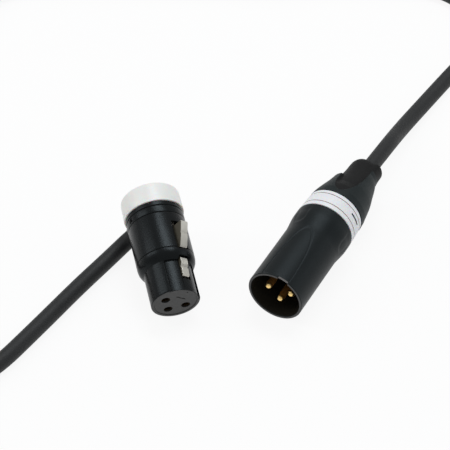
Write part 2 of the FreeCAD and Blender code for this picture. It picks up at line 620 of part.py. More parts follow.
wires = []
for number, angle in enumerate((90, 180, 270)):
    across = (1 - number) * 1.3
    spot = Rotation(Vector(0, 0, 1), angle).multVec(Vector(mm("pin_circle"), 0, 0))
    inner = spot * 0.33
    wires.append(wire([
        Vector(-mm("cable_inside") + 0.2, across, mm("exit_height")),
        Vector(-1.8, across, mm("exit_height")), Vector(inner.x, inner.y, mm("collar_start")),
        Vector(spot.x, spot.y, mm("contact_end") + 3),
        Vector(spot.x, spot.y, mm("contact_end") - 2.5)]))
feature("female_wires", Part.makeCompound(wires), female_place)
wires = []
for number, angle in enumerate((90, 180, 270)):
    spot = Rotation(Vector(0, 0, 1), angle).multVec(Vector(mm("pin_circle"), 0, 0))
    inner = spot * 0.33
    wires.append(wire([
        Vector(spot.x, spot.y, mm("pin_end") - 2.5), Vector(spot.x, spot.y, mm("pin_end") + 4.5),
        Vector(inner.x, inner.y, mm("ring_start")),
        Vector(inner.x, inner.y, mm("chuck_start") + 1)]))
feature("male_wires", Part.makeCompound(wires), male_place)

# The cable leaves the female connector downwards, lies in one turn round both connectors
# and rises into the male one.
exit_way = female_place.Rotation.multVec(Vector(-1, 0, 0))
exit_axis = female_place.multVec(Vector(0, 0, mm("exit_height")))
cable_lies = [
    (-40.7, 2.5, 4.05), (-43.45, 0.05, 2.75), (-47.9, -6.2, 2.75), (-56.2, -17.5, 2.75),
    (-67.0, -33.4, 2.75), (-81.6, -54.2, 2.75), (-95.0, -61.0, 2.75), (-110.2, -59.2, 2.75),
    (-122.2, -49.6, 2.75), (-126.6, -34.8, 2.75), (-124.2, -5.2, 2.75), (-116.4, 40.4, 2.75),
    (-109.0, 83.2, 2.75), (-107.2, 110.4, 2.75), (-104.9, 124.6, 2.75), (-97.4, 135.6, 2.75),
    (-85.4, 141.1, 2.75), (-61.6, 140.2, 2.75), (-25.4, 138.8, 2.75), (15.8, 138.9, 2.75),
    (46.6, 140.6, 2.75), (65.6, 140.9, 2.75), (78.7, 133.9, 2.75), (86.2, 120.9, 2.75),
    (86.2, 105.9, 2.75), (75.4, 87.4, 2.75), (64.1, 72.2, 3.0), (52.9, 55.1, 5.4)]
clamped = [exit_axis + exit_way * mm("cable_inside"), exit_axis + exit_way * mm("cap_radius")]
gripped = [male_place.multVec(Vector(0, 0, mm(height)))
           for height in ("boot_end + cable_free", "chuck_start + cable_inside / 4")]
feature("cable", tube(clamped + [Vector(*point) for point in cable_lies] + gripped,
                      mm("cable_radius")))

# ---------------------------------------------------------------- checks and files

doc.recompute()
for item in doc.Objects:
    if "Invalid" in item.State or "Error" in item.State:
        raise ValueError(f"{item.Label} failed: {item.State}")
box = FreeCAD.BoundBox()
os.makedirs("parts", exist_ok=True)
for item in nodes:
    if item.Shape.isNull() or not item.Shape.isValid():
        raise ValueError(f"{item.Label} has no valid shape")
    if item.Label != "cable":
        box.add(item.Shape.optimalBoundingBox())
    item.Shape.exportStep(f"parts/{item.Label}.step")
    print(item.Label, len(item.Shape.Solids), round(item.Shape.Volume, 1))
print("connectors", [round(side, 3) for side in (
    box.XMin, box.YMin, box.ZMin, box.XMax, box.YMax, box.ZMax)])
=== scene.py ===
import bmesh
import bpy
import json
import math
from mathutils import Matrix, Vector


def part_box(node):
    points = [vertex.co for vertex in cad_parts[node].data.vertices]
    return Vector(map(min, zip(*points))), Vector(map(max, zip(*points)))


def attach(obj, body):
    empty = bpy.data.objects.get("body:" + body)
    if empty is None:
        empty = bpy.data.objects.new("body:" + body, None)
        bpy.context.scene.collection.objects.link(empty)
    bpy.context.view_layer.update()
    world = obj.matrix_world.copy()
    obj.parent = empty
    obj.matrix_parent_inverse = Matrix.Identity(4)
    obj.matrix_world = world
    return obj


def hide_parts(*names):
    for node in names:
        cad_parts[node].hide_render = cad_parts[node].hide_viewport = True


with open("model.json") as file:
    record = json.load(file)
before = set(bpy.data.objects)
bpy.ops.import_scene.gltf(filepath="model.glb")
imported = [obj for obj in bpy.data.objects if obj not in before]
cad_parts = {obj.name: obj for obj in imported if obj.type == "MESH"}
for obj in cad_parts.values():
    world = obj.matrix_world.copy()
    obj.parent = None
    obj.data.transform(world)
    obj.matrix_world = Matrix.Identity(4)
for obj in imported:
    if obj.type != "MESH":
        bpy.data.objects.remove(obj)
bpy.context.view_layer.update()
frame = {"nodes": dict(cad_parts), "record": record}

# ------------------------------------------------------------------ table, light and camera
# The lead lies on a plain white table under soft light: one broad lamp overhead, a
# narrower one from the left and a faint one from the right. The camera looks down at it
# by 45 degrees.

AIM = Vector((-0.00886, 0.01357, 0.0))
DISTANCE = 0.615
LOOK_DOWN = math.radians(45)

camera = bpy.data.objects.new("camera", bpy.data.cameras.new("camera"))
bpy.context.scene.collection.objects.link(camera)
camera.data.angle = math.radians(14)
camera.data.clip_start = 0.01
camera.location = AIM + DISTANCE * Vector((0, -math.cos(LOOK_DOWN), math.sin(LOOK_DOWN)))
camera.rotation_euler = (math.pi / 2 - LOOK_DOWN, 0, 0)
bpy.context.scene.camera = camera
bpy.context.scene.view_settings.view_transform = "Standard"


def lamp(name, place, size, watts, colour=(1, 1, 1)):
    """A rectangular area lamp that points at the middle of the lead."""
    data = bpy.data.lights.new(name, "AREA")
    data.shape = "RECTANGLE"
    data.size, data.size_y = size
    data.energy = watts
    data.color = colour
    item = bpy.data.objects.new(name, data)
    bpy.context.scene.collection.objects.link(item)
    item.location = place
    item.rotation_euler = (AIM - Vector(place)).to_track_quat("-Z", "Y").to_euler()


lamp("lamp_overhead", (0.20, 0.50, 1.25), (0.85, 0.35), 6.5, (0.95, 0.98, 1.0))
lamp("lamp_left", (-1.1, 0.2, 0.9), (0.3, 0.9), 3)
lamp("lamp_right", (1.15, 0.20, 0.42), (0.6, 0.5), 0.7, (0.95, 0.98, 1.0))


class Wire:
    """A value in a material's nodes; sums and products of wires add Math nodes."""

    def __init__(self, tree, socket=None):
        self.tree = tree
        self.socket = socket

    def node(self, kind, settings=(), inputs=(), output=0):
        """Any node: its settings first, then its inputs by name or number."""
        made = self.tree.nodes.new("ShaderNode" + kind)
        for name, value in dict(settings).items():
            setattr(made, name, value)
        for name, value in dict(inputs).items():
            if isinstance(value, Wire):
                self.tree.links.new(value.socket, made.inputs[name])
            else:
                made.inputs[name].default_value = value
        return Wire(self.tree, made.outputs[output])

    def math(self, operation, *values):
        """A Math node on values or wires."""
        return self.node("Math", {"operation": operation}, enumerate(values))

    def mix(self, first, second):
        """This value as the share of the second of two colours."""
        return self.node("Mix", {"data_type": "RGBA"},
                         {0: self, 6: (*first, 1), 7: (*second, 1)}, 2)

    def __add__(self, other):
        return self.math("ADD", self, other)

    def __mul__(self, other):
        return self.math("MULTIPLY", self, other)

    __radd__ = __add__
    __rmul__ = __mul__


def blank(name):
    """A new material with an empty tree, as (material, wire, output node)."""
    material = bpy.data.materials.new(name)
    material.use_nodes = True
    material.node_tree.nodes.clear()
    output = material.node_tree.nodes.new("ShaderNodeOutputMaterial")
    return material, Wire(material.node_tree), output


TABLE_HALF = 4.0
SEEN_GLOW = 0.9
mesh = bpy.data.meshes.new("table")
mesh.from_pydata([(-TABLE_HALF, -TABLE_HALF, 0), (TABLE_HALF, -TABLE_HALF, 0),
                  (TABLE_HALF, TABLE_HALF, 0), (-TABLE_HALF, TABLE_HALF, 0)],
                 [], [(0, 1, 2, 3)])
table = bpy.data.objects.new("table", mesh)
bpy.context.scene.collection.objects.link(table)

# Seen by the camera or in a reflection the white mostly glows by itself, so that it stays
# even. It lights the lead as a plain diffuse white.
material, wire, output = blank("table_white")
lit = wire.node("BsdfDiffuse", {}, {"Color": (0.9, 0.9, 0.9, 1)})
glow = wire.node("Emission", {}, {"Color": (1, 1, 1, 1), "Strength": 1.0})
camera_ray = wire.node("LightPath", output=0)
glossy_ray = wire.node("LightPath", output=3)
through_ray = wire.node("LightPath", output=6)
mirrored = glossy_ray.math("MAXIMUM", glossy_ray, through_ray)
seen = camera_ray.math("MAXIMUM", camera_ray, mirrored)
white = wire.node("MixShader", {}, {0: seen * SEEN_GLOW, 1: lit, 2: glow})
material.node_tree.links.new(white.socket, output.inputs["Surface"])
table.data.materials.append(material)

world = bpy.data.worlds.new("studio")
bpy.context.scene.world = world
world.use_nodes = True
world.node_tree.nodes["Background"].inputs["Color"].default_value = (0.97, 0.98, 1.0, 1)
world.node_tree.nodes["Background"].inputs["Strength"].default_value = 0.55

# ------------------------------------------------------------------ cable
# One length of 5.5 mm microphone cable in a matt black jacket. It drops out of the
# female connector's side, lies in one turn round both connectors and rises into the
# male one. Sizes in a connector's own frame are in millimetres, and angles in degrees.

CABLE_RADIUS = 0.00275
MM = 0.001


def middle(node):
    """The middle of a CAD node's box."""
    low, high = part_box(node)
    return (low + high) / 2


def connector(mount, depth, left, right):
    """A connector's own frame: z runs from its mating face to the rear, x to its key."""
    rear = -Vector(mount["axis"])
    face = Vector(mount["pos_m"]) - depth * MM * rear
    sideways = (middle(left) - middle(right)).normalized()
    turn = Matrix((sideways.cross(rear), sideways, rear)).transposed()
    return Matrix.Translation(face) @ turn.to_4x4()


NOSE_MOUNT_DEPTH = 6.0
SHELL_MOUNT_DEPTH = 12.0
mounts = {mount["name"]: mount for mount in frame["record"]["mounts"]}
female = connector(mounts["female_nose"], NOSE_MOUNT_DEPTH,
                   "female_contact_1", "female_contact_2")
male = connector(mounts["male_shell_outside"], SHELL_MOUNT_DEPTH, "male_pin_2", "male_pin_1")

# The route begins in the female connector's clamp and outlet, and ends behind the boot
# and in the chuck. In between it comes down to the table and lies there.
EXIT_HEIGHT = 33.5
CLAMP_REACH = 4.8
OUTLET_REACH = 10.1
CHUCK_HEIGHT = 45.2
FREE_HEIGHT = 75.9
SAG = Vector((1.2, -0.5, 0))
clamped = [female @ Vector((-reach * MM, 0, EXIT_HEIGHT * MM))
           for reach in (CLAMP_REACH, OUTLET_REACH)]
lies = [
    (-40.7, 2.5, 4.05), (-43.45, 0.05, 2.75), (-47.9, -6.2, 2.75), (-56.2, -17.5, 2.75),
    (-67.0, -33.4, 2.75), (-81.6, -54.2, 2.75), (-95.0, -61.0, 2.75), (-110.2, -59.2, 2.75),
    (-122.2, -49.6, 2.75), (-126.6, -34.8, 2.75), (-124.2, -5.2, 2.75), (-116.4, 40.4, 2.75),
    (-109.0, 83.2, 2.75), (-107.2, 110.4, 2.75), (-104.9, 124.6, 2.75), (-97.4, 135.6, 2.75),
    (-85.4, 141.1, 2.75), (-61.6, 140.2, 2.75), (-25.4, 138.8, 2.75), (15.8, 138.9, 2.75),
    (46.6, 140.6, 2.75), (65.6, 140.9, 2.75), (78.7, 133.9, 2.75), (86.2, 120.9, 2.75),
    (86.2, 105.9, 2.75), (74.9, 90.6, 2.75), (63.3, 73.6, 2.75), (52.6, 56.2, 4.6)]
gripped = [male @ Vector((0, 0, FREE_HEIGHT * MM)) + SAG * MM,
           male @ Vector((0, 0, CHUCK_HEIGHT * MM))]
points = clamped + [MM * Vector(point) for point in lies] + gripped
curve = bpy.data.curves.new("cable", "CURVE")
curve.dimensions = "3D"
spline = curve.splines.new("NURBS")
spline.points.add(len(points) - 1)
for item, point in zip(spline.points, points):
    item.co = (*point, 1)
spline.order_u = 3
spline.use_endpoint_u = True
spline.resolution_u = 14
curve.bevel_depth = CABLE_RADIUS
curve.bevel_resolution = 7
curve.use_fill_caps = True
cable = bpy.data.objects.new("cable_jacket", curve)
bpy.context.scene.collection.objects.link(cable)


def noise(where, scale, detail):
    """Cloudy noise between 0 and 1."""
    return where.node("TexNoise", {}, {"Vector": where, "Scale": scale, "Detail": detail,
                                       "Roughness": 0.5})


def surface(name, colour, rough, bump, **fixed):
    """A Principled material, whose colour, roughness and bump follow the place on a piece."""
    material, wire, output = blank(name)
    where = wire.node("TexCoord", output=3)
    inputs = {socket.replace("_", " "): value for socket, value in fixed.items()}
    inputs["Base Color"] = colour(where)
    inputs["Roughness"] = rough(where)
    height, distance = bump(where)
    inputs["Normal"] = wire.node("Bump", {}, {"Height": height, "Distance": distance})
    shader = wire.node("BsdfPrincipled", {}, inputs)
    material.node_tree.links.new(shader.socket, output.inputs["Surface"])
    return material


def jacket_colour(where):
    """Two blacks in clouds, with a few paler specks."""
    specks = noise(where, 260, 3)
    return (noise(where, 55, 3) * 0.7 + specks.math("GREATER_THAN", specks, 0.74) * 0.3).mix(
        (0.017, 0.0178, 0.018), (0.030, 0.031, 0.031))


jacket = surface("matt_jacket", jacket_colour,
                 lambda where: noise(where, 420, 2) * 0.16 + 0.44,
                 lambda where: (noise(where, 900, 3) + noise(where, 150, 2) * 0.6, 0.00012),
                 Specular_IOR_Level=0.25)
curve.materials.append(jacket)
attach(cable, "lead")
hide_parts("cable")

# ------------------------------------------------------------------ female shell
# The female connector's body is one zinc casting under satin black lacquer: a slim nose
# with a recess for the key, a rounded shoulder and a wider barrel, with two windows in
# line through which the latch shows. The rim of its face is painted as grey as the block
# inside: painted light, where the face is lit from the front.

NOSE_RADIUS = 7.95
NOSE_BORE = 6.9
BODY_RADIUS = 9.5
BODY_BORE = 8.2
COLLAR_START = 29.0
KEY_FLOOR = 7.45
KEY_HALF = 5.8
KEY_END = 11.4
HOOK_WINDOW = (4.6, 12.6)
HOOK_WINDOW_HALF = 1.7
TAB_WINDOW = (14.9, 25.4)
TAB_WINDOW_HALF = 2.1


def eased(corners, pieces=4):
    """(radius, height[, easing]) corners; an easing rounds its corner by that much."""
    made = []
    for index, corner in enumerate(corners):
        here = Vector(corner[:2])
        if len(corner) == 2:
            made.append(here)
            continue
        before = Vector(corners[index - 1][:2])
        after = Vector(corners[(index + 1) % len(corners)][:2])
        start = here + min(corner[2], 0.49 * (before - here).length) * (before - here).normalized()
        end = here + min(corner[2], 0.49 * (after - here).length) * (after - here).normalized()
        for step in range(pieces + 1):
            share = step / pieces
            made.append(start.lerp(here, share).lerp(here.lerp(end, share), share))
    return made


def stepped(points, start, stop, pitch):
    """Between two heights, split a profile's long outer runs into short ones."""
    made = []
    for point, following in zip(points, points[1:] + points[:1]):
        made.append(point)
        outer = point.x > 9 and start <= min(point.y, following.y) and following.y <= stop
        count = math.ceil((following - point).length / pitch) if outer else 1
        made += [point.lerp(following, step / count) for step in range(1, count)]
    return made


def shade(mesh, data):
    """Write a mesh into its data, smooth but for its sharp edges."""
    for face in mesh.faces:
        face.smooth = True
    for edge in mesh.edges:
        edge.smooth = len(edge.link_faces) == 2 and edge.calc_face_angle() < math.radians(32)
    mesh.to_mesh(data)
    mesh.free()


def show(name, mesh, place):
    """A mesh as a piece in its connector's frame."""
    bmesh.ops.transform(mesh, matrix=place, verts=mesh.verts)
    bmesh.ops.recalc_face_normals(mesh, faces=mesh.faces)
    data = bpy.data.meshes.new(name)
    shade(mesh, data)
    piece = bpy.data.objects.new(name, data)
    bpy.context.scene.collection.objects.link(piece)
    return piece


def turned(name, profile, place, sides=144, shape=None):
    """A closed loop of (radius, height) points turned about the connector's axis."""
    mesh = bmesh.new()
    rings = []
    for radius, height in map(Vector, profile):
        ring = []
        for step in range(sides if radius > 1e-6 else 1):
            angle = 2 * math.pi * step / sides
            out, rear = shape(math.degrees(angle), radius, height) if shape else (radius, height)
            ring.append(mesh.verts.new((out * math.cos(angle) * MM, out * math.sin(angle) * MM,
                                        rear * MM)))
        rings.append(ring)
    for ring, following in zip(rings, rings[1:] + rings[:1]):
        if len(ring) == len(following) == 1:
            continue
        for step in range(sides):
            corners = [ring[step % len(ring)], ring[(step + 1) % sides % len(ring)],
                       following[(step + 1) % sides % len(following)],
                       following[step % len(following)]]
            mesh.faces.new(dict.fromkeys(corners))
    return show(name, mesh, place)


def prism(name, outline, half_width, place):
    """A flat outline of (x, z) corners, as thick as twice half_width along y."""
    mesh = bmesh.new()
    near = [mesh.verts.new((x * MM, -half_width * MM, z * MM)) for x, z in outline]
    far = [mesh.verts.new((x * MM, half_width * MM, z * MM)) for x, z in outline]
    mesh.faces.new(near)
    mesh.faces.new(far[::-1])
    for index in range(len(outline)):
        following = (index + 1) % len(outline)
        mesh.faces.new([near[index], far[index], far[following], near[following]])
    return show(name, mesh, place)


def bar(name, inner, outer, start, end, half_width, place):
    """A straight cutter, from inner to outer along x and from start to end along z."""
    return prism(name, [(inner, start), (outer, start), (outer, end), (inner, end)],
                 half_width, place)


def peg(radius, foot, tip, place, sides=48):
    """A round cutter between two points."""
    way = Vector(tip) - Vector(foot)
    turn = Vector((0, 0, 1)).rotation_difference(way).to_matrix().to_4x4()
    return turned("peg", [(0, 0), (radius, 0), (radius, way.length), (0, way.length)],
                  place @ Matrix.Translation(MM * Vector(foot)) @ turn, sides)


def carve(piece, *cutters):
    """Cut the cutters out of a piece for good."""
    for cutter in cutters:
        cut = piece.modifiers.new("cut", "BOOLEAN")
        cut.object = cutter
        cut.solver = "EXACT"
    bpy.context.view_layer.update()
    shape = piece.evaluated_get(bpy.context.evaluated_depsgraph_get())
    piece.modifiers.clear()
    old = piece.data
    piece.data = bpy.data.meshes.new_from_object(shape)
    bpy.data.meshes.remove(old)
    for cutter in cutters:
        bpy.data.objects.remove(cutter)
    mesh = bmesh.new()
    mesh.from_mesh(piece.data)
    shade(mesh, piece.data)
    return piece


def soften(piece, width, segments=2):
    """Round every sharp edge by width millimetres."""
    bevel = piece.modifiers.new("soft edges", "BEVEL")
    bevel.width = width * MM
    bevel.segments = segments
    bevel.limit_method = "ANGLE"
    bevel.angle_limit = math.radians(33)
    bevel.use_clamp_overlap = False
    bevel.harden_normals = True


def paint(piece, material, place, chosen):
    """A further finish on the faces whose (centre, normal) in the connector's frame fit."""
    piece.data.materials.append(material)
    back = place.inverted()
    for face in piece.data.polygons:
        if chosen(back @ face.center / MM, back.to_3x3() @ face.normal):
            face.material_index = len(piece.data.materials) - 1


shell = turned("female_casting", eased([
    (NOSE_BORE, 0), (NOSE_RADIUS, 0, 0.3), (NOSE_RADIUS, 11.5), (8.2, 11.75), (8.85, 12.35),
    (9.3, 13.3), (9.47, 14.3), (BODY_RADIUS, 15.0), (BODY_RADIUS, 15.15), (9.28, 15.3),
    (BODY_RADIUS, 15.45), (BODY_RADIUS, COLLAR_START, 0.3), (BODY_BORE, COLLAR_START),
    (BODY_BORE, 13.8), (NOSE_BORE, 13.8)]), female, 180)
key_recess = carve(bar("key_recess", 3, 9, -1, KEY_END, KEY_HALF, female),
                   peg(KEY_FLOOR, (0, 0, -2), (0, 0, 12), female, 180))
hook_window = bar("hook_window", 4, 12, *HOOK_WINDOW, HOOK_WINDOW_HALF, female)
tab_window = bar("tab_window", 4, 12, *TAB_WINDOW, TAB_WINDOW_HALF, female)
carve(shell, key_recess, hook_window, tab_window)
soften(shell, 0.14)


def finish(name, tones, drift, gloss, grain, **fixed):
    """A surface that drifts between two tones, with an uneven gloss and a fine grain.

    All three begin with their noise's scale and detail. The gloss goes on with the spread
    of the roughness and its least value, and the grain with its depth in metres.
    """
    scale, detail, spread, least = gloss
    return surface(name, lambda where: noise(where, *drift).mix(*tones),
                   lambda where: noise(where, scale, detail) * spread + least,
                   lambda where: (noise(where, *grain[:2]), grain[2]), **fixed)


def lacquer(name, tones, least, level):
    """Satin lacquer on a casting: even, with a fine orange peel and faint cloudiness."""
    return finish(name, tones, drift=(120, 3), gloss=(1400, 2, 0.08, least),
                  grain=(2600, 2, 0.00003), Specular_IOR_Level=level,
                  Specular_Tint=(0.80, 0.93, 1.0, 1))


black_lacquer = lacquer("black_lacquer",
                        ((0.0030, 0.0030, 0.0028), (0.0044, 0.0044, 0.0042)), 0.24, 0.18)
shell.data.materials.append(black_lacquer)
lit_face_grey = finish("face_grey_painted_light", ((0.014, 0.0145, 0.014), (0.021, 0.0215, 0.021)),
                      drift=(260, 3), gloss=(900, 2, 0.1, 0.42), grain=(2000, 2, 0.00003))
# Painted light: the casting's front face is painted grey, where the face is lit from the front.
paint(shell, lit_face_grey, female, lambda spot, normal: spot.z < 0.05 and normal.z < -0.9)
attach(shell, "lead")
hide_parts("female_shell")

# ------------------------------------------------------------------ cable collar
# A separate black ring behind the barrel turns the cable out to the side. A groove runs
# round it, and two small set screws hold it to the shell's spigot.

OUTLET_RADIUS = 3.55
SCREW_RADIUS = 0.9
SCREW_ANGLE = 97
SCREW_HEIGHT = 30.35

collar = turned("collar_ring", eased([
    (8.35, 29.05), (BODY_RADIUS, 29.05, 0.25), (BODY_RADIUS, 31.45), (9.2, 31.7),
    (BODY_RADIUS, 31.95), (BODY_RADIUS, 33.3), (8.9, 33.3), (8.9, 38.4), (8.35, 38.4)]),
    female)
collar_outlet, cap_outlet = [
    peg(OUTLET_RADIUS, (-4, 0, EXIT_HEIGHT), (-12, 0, EXIT_HEIGHT), female) for _ in range(2)]
screw_ways = [(math.cos(math.radians(angle)), math.sin(math.radians(angle)))
              for angle in (-SCREW_ANGLE, SCREW_ANGLE)]
screw_seats = [peg(SCREW_RADIUS, (8 * x, 8 * y, SCREW_HEIGHT), (11 * x, 11 * y, SCREW_HEIGHT),
                   female, 24) for x, y in screw_ways]
carve(collar, collar_outlet, *screw_seats)
soften(collar, 0.06)
collar.data.materials.append(black_lacquer)
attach(collar, "lead")
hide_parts("cable_collar")

# ------------------------------------------------------------------ end cap
# The white cap over the rear is moulded in one piece, with a well rounded end and a
# wall that stands a little proud of the collar.

cap = turned("white_end_cap", eased([
    (8.95, 33.35), (9.95, 33.35, 0.2), (9.78, 40.7, 1.1), (0, 40.7), (0, 39.5),
    (8.95, 39.5)], pieces=7), female)
carve(cap, cap_outlet)
soften(cap, 0.12)
cap_white = finish("cap_white", ((0.86, 0.835, 0.80), (0.89, 0.875, 0.85)),
                   drift=(90, 3), gloss=(700, 2, 0.08, 0.34), grain=(1200, 2, 0.00002),
                   Subsurface_Weight=0.25, Subsurface_Scale=0.002)
cap.data.materials.append(cap_white)
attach(cap, "lead")
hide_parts("end_cap")

# ------------------------------------------------------------------ latch
# The latch is a stamped and folded lever of satin nickel: a hook that catches in the
# mating shell, and behind it the finger tab with two low steps for grip. Its flanks are
# painted a duller, darker brownish metal: painted shade.

LEVER_HALF = 1.38

lever = prism("latch_spring_lever", [
    (5.8, 5.5), (7.3, 5.5), (7.75, 5.9), (7.95, 8.4), (7.6, 8.75), (8.1, 9.4), (8.45, 10.0),
    (8.45, 11.8), (8.1, 12.2), (6.5, 12.4), (6.5, 15.2), (9.6, 15.2), (9.95, 15.6),
    (11.55, 19.2), (11.35, 19.55), (11.8, 20.2), (12.85, 23.0), (12.6, 23.5), (6.5, 23.8),
    (6.5, 26.2), (7.4, 27.4), (6.4, 27.4), (5.8, 26.2)], LEVER_HALF, female)
soften(lever, 0.16, 3)
nickel = finish("satin_nickel", ((0.58, 0.56, 0.50), (0.68, 0.66, 0.60)), drift=(200, 3),
                gloss=(900, 3, 0.2, 0.36), grain=(2400, 2, 0.00003), Metallic=1.0)
lever.data.materials.append(nickel)
# Painted shade: the lever's flanks get a darker, duller brownish metal.
flank_painted_shade = finish("latch_flank_painted_shade", ((0.075, 0.068, 0.050), (0.11, 0.10, 0.075)),
                  drift=(300, 3), gloss=(900, 3, 0.2, 0.45), grain=(2400, 2, 0.00003),
                  Metallic=0.5)
paint(lever, flank_painted_shade, female, lambda spot, normal: abs(normal.y) > 0.9)
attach(lever, "latch")
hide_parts("latch_lever")

# ------------------------------------------------------------------ male shell
# The male connector's shell is a single black casting: a plain round cup in front with a
# tongue-shaped field on top, flaring behind it into a wider grip with shallow scallops.
# The cup is painted a warmer black inside, as painted shade, and its rim and the notch in
# it are bare and greyer.

RIM_RADIUS = 9.5
CUP_RADIUS = 8.5
NOTCH_ANGLE = 20
NOTCH_HALF = 1.8
NOTCH_DEPTH = 0.5
PANEL_ANGLE = 2
PANEL_START = 2
PANEL_HALF = 4.8
PANEL_END = 23.6
PANEL_DEPTH = 0.12
BORDER_DEPTH = 0.2
BORDER_HALF = 0.26
FLARE = 0.7
FLARE_START = 24.0
FLARE_END = 31.3
FLUTE_ANGLES = (86, 206, 326)
FLUTE_HALF = 3.0
FLUTE_START = 28.6
FLUTE_RISE = 3.2
FLUTE_FADE = (31, 33.4)
FLUTE_DEPTH = 0.16
GRIP_RADIUS = 10
GRIP_END = 34.0
THREAD_RADIUS = 8.2
THREAD_DEPTH = 0.22
THREAD_START = 42.6
THREAD_STEP = 0.3
THREAD_STEPS = 14


def smooth(start, stop, value):
    """0 before start and 1 after stop, with an eased ramp between."""
    share = min(max((value - start) / (stop - start), 0), 1)
    return share * share * (3 - 2 * share)


def apart(angle, other):
    """The signed angle from other to angle, in degrees."""
    return (angle - other + 180) % 360 - 180


def panel_inside(angle, height):
    """How far inside the tongue's outline a point lies, in millimetres."""
    across = math.radians(apart(angle, PANEL_ANGLE)) * RIM_RADIUS
    share = math.hypot((height - PANEL_START) / (PANEL_END - PANEL_START), across / PANEL_HALF)
    if height < PANEL_START:
        share = abs(across) / PANEL_HALF
    return min((1 - share) * PANEL_HALF, (height - 0.7) * 3)


def flute(angle, height):
    """How deep in one of the grip's three finger flutes a point lies, from 0 to 1."""
    across = GRIP_RADIUS * min(abs(math.radians(apart(angle, floor))) for floor in FLUTE_ANGLES)
    share = math.hypot(across / FLUTE_HALF, min(height - FLUTE_START, 0) / FLUTE_RISE)
    return smooth(1, 0.6, share) * (1 - smooth(*FLUTE_FADE, height))


def male_outside(angle, radius, height):
    """The casting's outside, from the plain cup to the grip, and the notch in its rim."""
    lip = 0.75
    if height < lip:
        across = abs(math.radians(apart(angle, NOTCH_ANGLE))) * 9
        notch = NOTCH_DEPTH * (1 - smooth(NOTCH_HALF - 0.2, NOTCH_HALF + 0.2, across))
        height = notch + height * (1 - notch / lip)
    if radius < RIM_RADIUS - 0.4 or height > GRIP_END + 0.1:
        return radius, height
    flare = FLARE * smooth(FLARE_START, FLARE_END, height)
    inside = panel_inside(angle, height)
    border = BORDER_DEPTH * max(0, 1 - abs(inside) / BORDER_HALF)
    field = PANEL_DEPTH * smooth(0, 0.35, inside)
    return radius + flare - FLUTE_DEPTH * flute(angle, height) - border - field, height


threads = [(THREAD_RADIUS - THREAD_DEPTH * (step % 2), THREAD_START + THREAD_STEP * step)
           for step in range(THREAD_STEPS)]
male_profile = stepped(eased([
    (CUP_RADIUS, 1.0), (8.58, 0.3), (8.7, 0, 0.1), (9.38, 0, 0.1), (RIM_RADIUS, 0.25),
    (RIM_RADIUS, GRIP_END), (9.9, 34.3), (8.9, 34.3), (8.9, 42.4),
    (THREAD_RADIUS, 42.4)] + threads + [
    (8.0, 46.8), (7.1, 46.8), (7.1, 21.0), (CUP_RADIUS, 21.0)]), 0.2, GRIP_END, 0.25)
male_shell = turned("male_casting", male_profile, male, 360, male_outside)
dark_lacquer = lacquer("dark_lacquer",
                       ((0.0060, 0.0078, 0.0080), (0.0088, 0.0108, 0.0110)), 0.38, 0.17)
male_shell.data.materials.append(dark_lacquer)
# Painted shade: the inside of the cup gets a warmer, brownish black.
cup_painted_shade = finish("cup_painted_shade", ((0.0095, 0.0080, 0.0052), (0.0140, 0.0118, 0.0080)),
                   drift=(260, 3), gloss=(900, 2, 0.1, 0.5), grain=(2600, 2, 0.00003),
                   Specular_IOR_Level=0.2)
paint(male_shell, cup_painted_shade, male,
      lambda spot, normal: spot.xy.length < CUP_RADIUS + 0.05 and 0.6 < spot.z < 30)
rim_grey = finish("rim_grey", ((0.024, 0.024, 0.023), (0.034, 0.034, 0.033)),
                  drift=(260, 3), gloss=(900, 2, 0.1, 0.4), grain=(2600, 2, 0.00003))
paint(male_shell, rim_grey, male,
      lambda spot, normal: spot.z < 0.2 and normal.z < -0.7)
notch_grey = finish("notch_grey", ((0.10, 0.095, 0.09), (0.14, 0.135, 0.13)),
                    drift=(260, 3), gloss=(900, 2, 0.1, 0.4), grain=(2600, 2, 0.00003))
paint(male_shell, notch_grey, male,
      lambda spot, normal: spot.xy.length > 8.6 and 0.3 < spot.z < 0.6 and normal.z < -0.7)
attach(male_shell, "lead")
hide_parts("male_shell")

# ------------------------------------------------------------------ coding ring
# A white ring snaps over the shell in front of the boot. It has a fine groove near each
# edge and a short slot for the tool that takes it off.

RING_END = 41.8
GROOVES = ((35.99, 36.31), (40.09, 40.41))
SLOT_ANGLE = 67
SLOT_FLOOR = 9.2
SLOT_START = 38.4
SLOT_END = 39.0
SLOT_HALF = 2.4

coding_ring = turned("white_coding_ring", eased([
    (8.95, 34.35), (10.15, 34.35, 0.25), (10.12, 36.0), (9.9, 36.05), (9.9, 36.25), (10.1, 36.3),
    (9.95, 40.1), (9.7, 40.15), (9.7, 40.35), (9.9, 40.4), (9.85, RING_END, 0.25),
    (8.95, RING_END)]), male)
slot_place = male @ Matrix.Rotation(math.radians(SLOT_ANGLE), 4, "Z")
carve(coding_ring, bar("slot", SLOT_FLOOR, 11, SLOT_START, SLOT_END, SLOT_HALF, slot_place))
ring_white = finish("ring_white", ((0.78, 0.79, 0.81), (0.86, 0.865, 0.88)), drift=(160, 3),
                    gloss=(800, 2, 0.1, 0.38), grain=(1500, 2, 0.00002),
                    Subsurface_Weight=0.15, Subsurface_Scale=0.001)
coding_ring.data.materials.append(ring_white)
